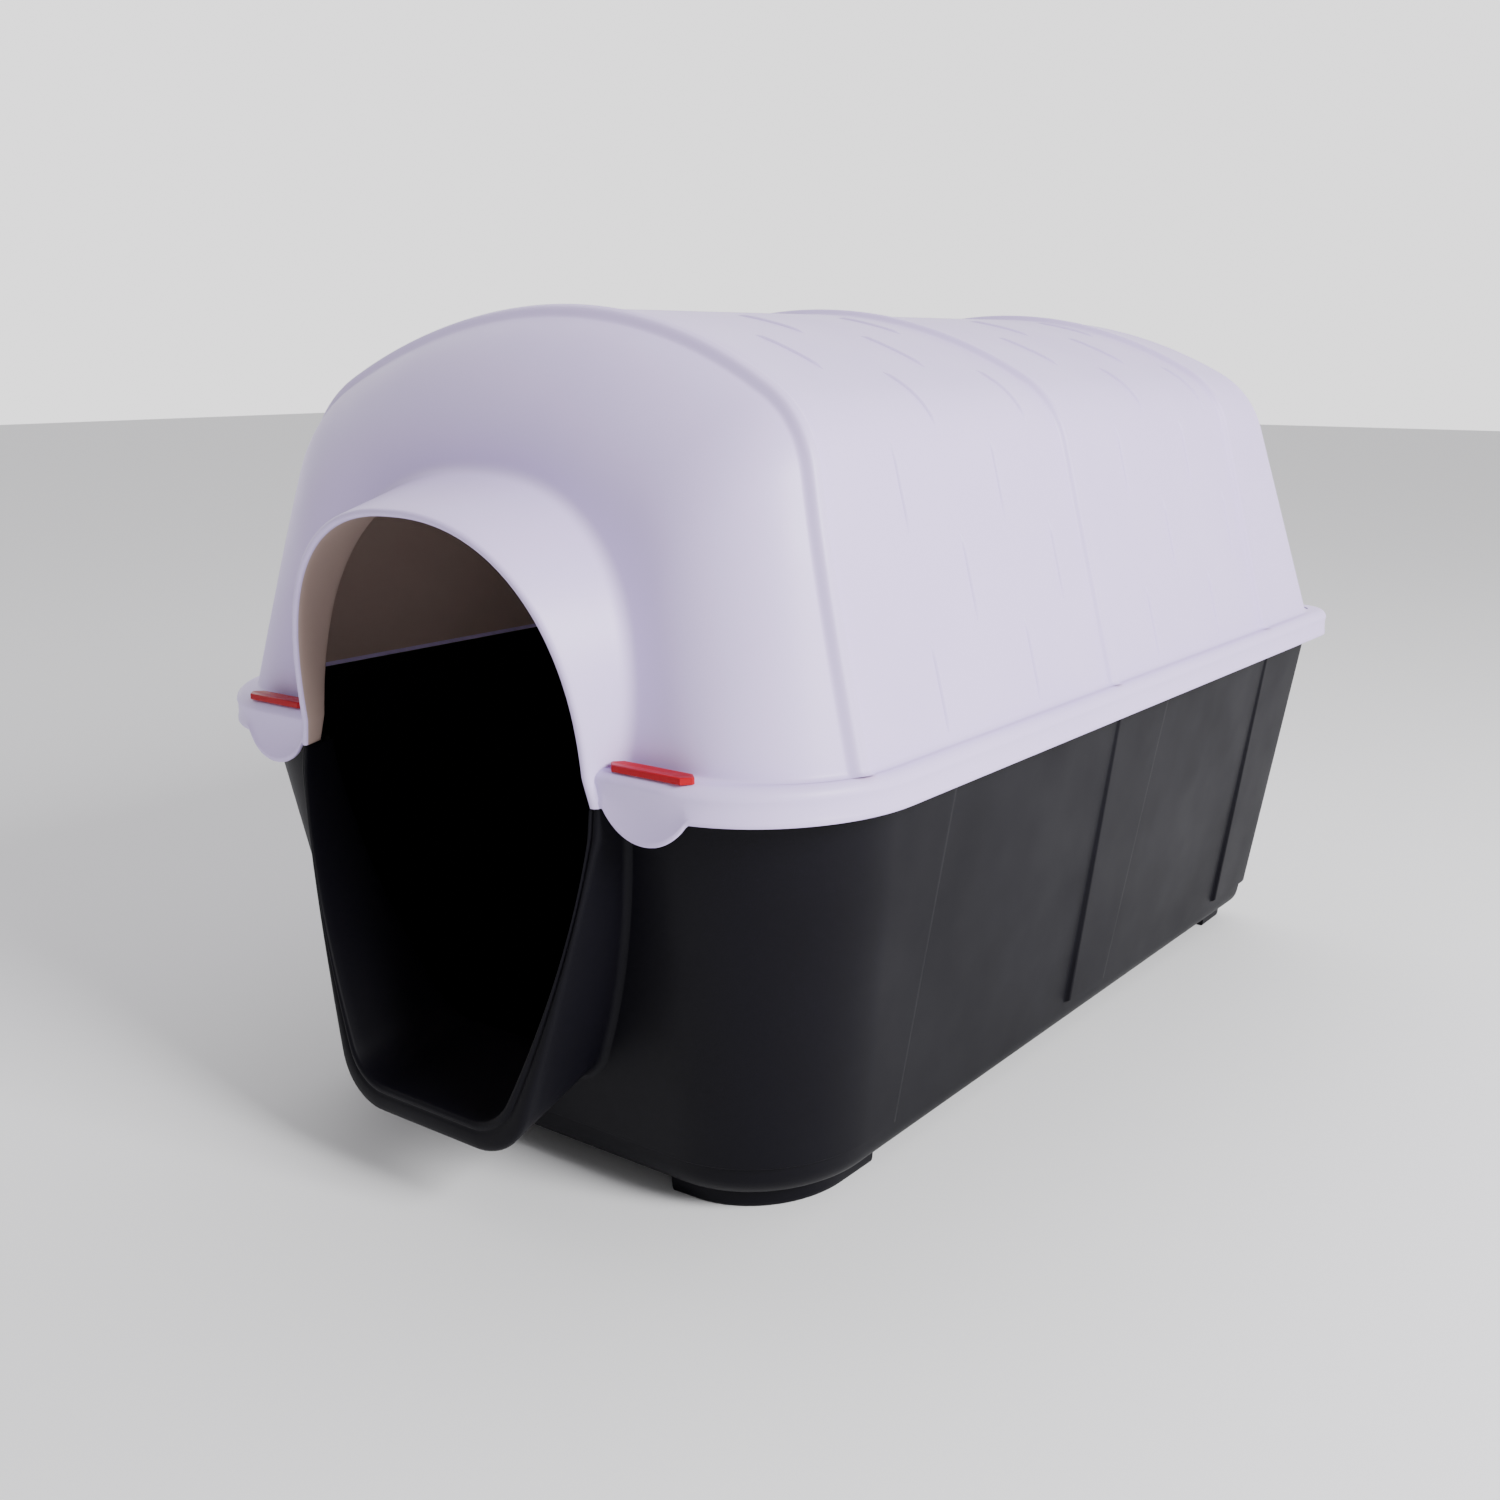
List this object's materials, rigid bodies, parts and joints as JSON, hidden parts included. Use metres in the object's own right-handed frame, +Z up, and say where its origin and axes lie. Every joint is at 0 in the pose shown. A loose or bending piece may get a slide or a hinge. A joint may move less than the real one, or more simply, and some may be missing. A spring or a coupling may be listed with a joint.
{
  "type": "dog kennel",
  "caption": "Two-piece moulded pet kennel: a domed lift-off roof with a door hood over a tapered tub, held by push-in clips.",
  "frame": {"origin": "on the ground, under the middle of the whole outline", "axes": "+Z up, door faces -Y, +X to the left of someone looking out of the door"},
  "size_m": [0.6, 0.988, 0.6245],
  "materials": {
    "roof_plastic": "satin moulded",
    "tub_plastic": "fine-textured moulded",
    "clip_plastic": "smooth moulded"
  },
  "bodies": {
    "tub": {"base_tub": "tub_plastic"},
    "roof": {"roof_shell": "roof_plastic"},
    "clip_front_left": {"clip_front_left": "clip_plastic"},
    "clip_front_right": {"clip_front_right": "clip_plastic"},
    "clip_rear_left": {"clip_rear_left": "clip_plastic"},
    "clip_rear_right": {"clip_rear_right": "clip_plastic"}
  },
  "joints": [
    {"name": "roof_lift", "type": "slide", "parent": "tub", "child": "roof", "axis": [0, 0, 1], "range_m": [0, 0.35]},
    {"name": "clip_front_left_pull", "type": "slide", "parent": "roof", "child": "clip_front_left", "axis": [0, 0, 1], "range_m": [0, 0.06]},
    {"name": "clip_front_right_pull", "type": "slide", "parent": "roof", "child": "clip_front_right", "axis": [0, 0, 1], "range_m": [0, 0.06]},
    {"name": "clip_rear_left_pull", "type": "slide", "parent": "roof", "child": "clip_rear_left", "axis": [0, 0, 1], "range_m": [0, 0.06]},
    {"name": "clip_rear_right_pull", "type": "slide", "parent": "roof", "child": "clip_rear_right", "axis": [0, 0, 1], "range_m": [0, 0.06]}
  ]
}
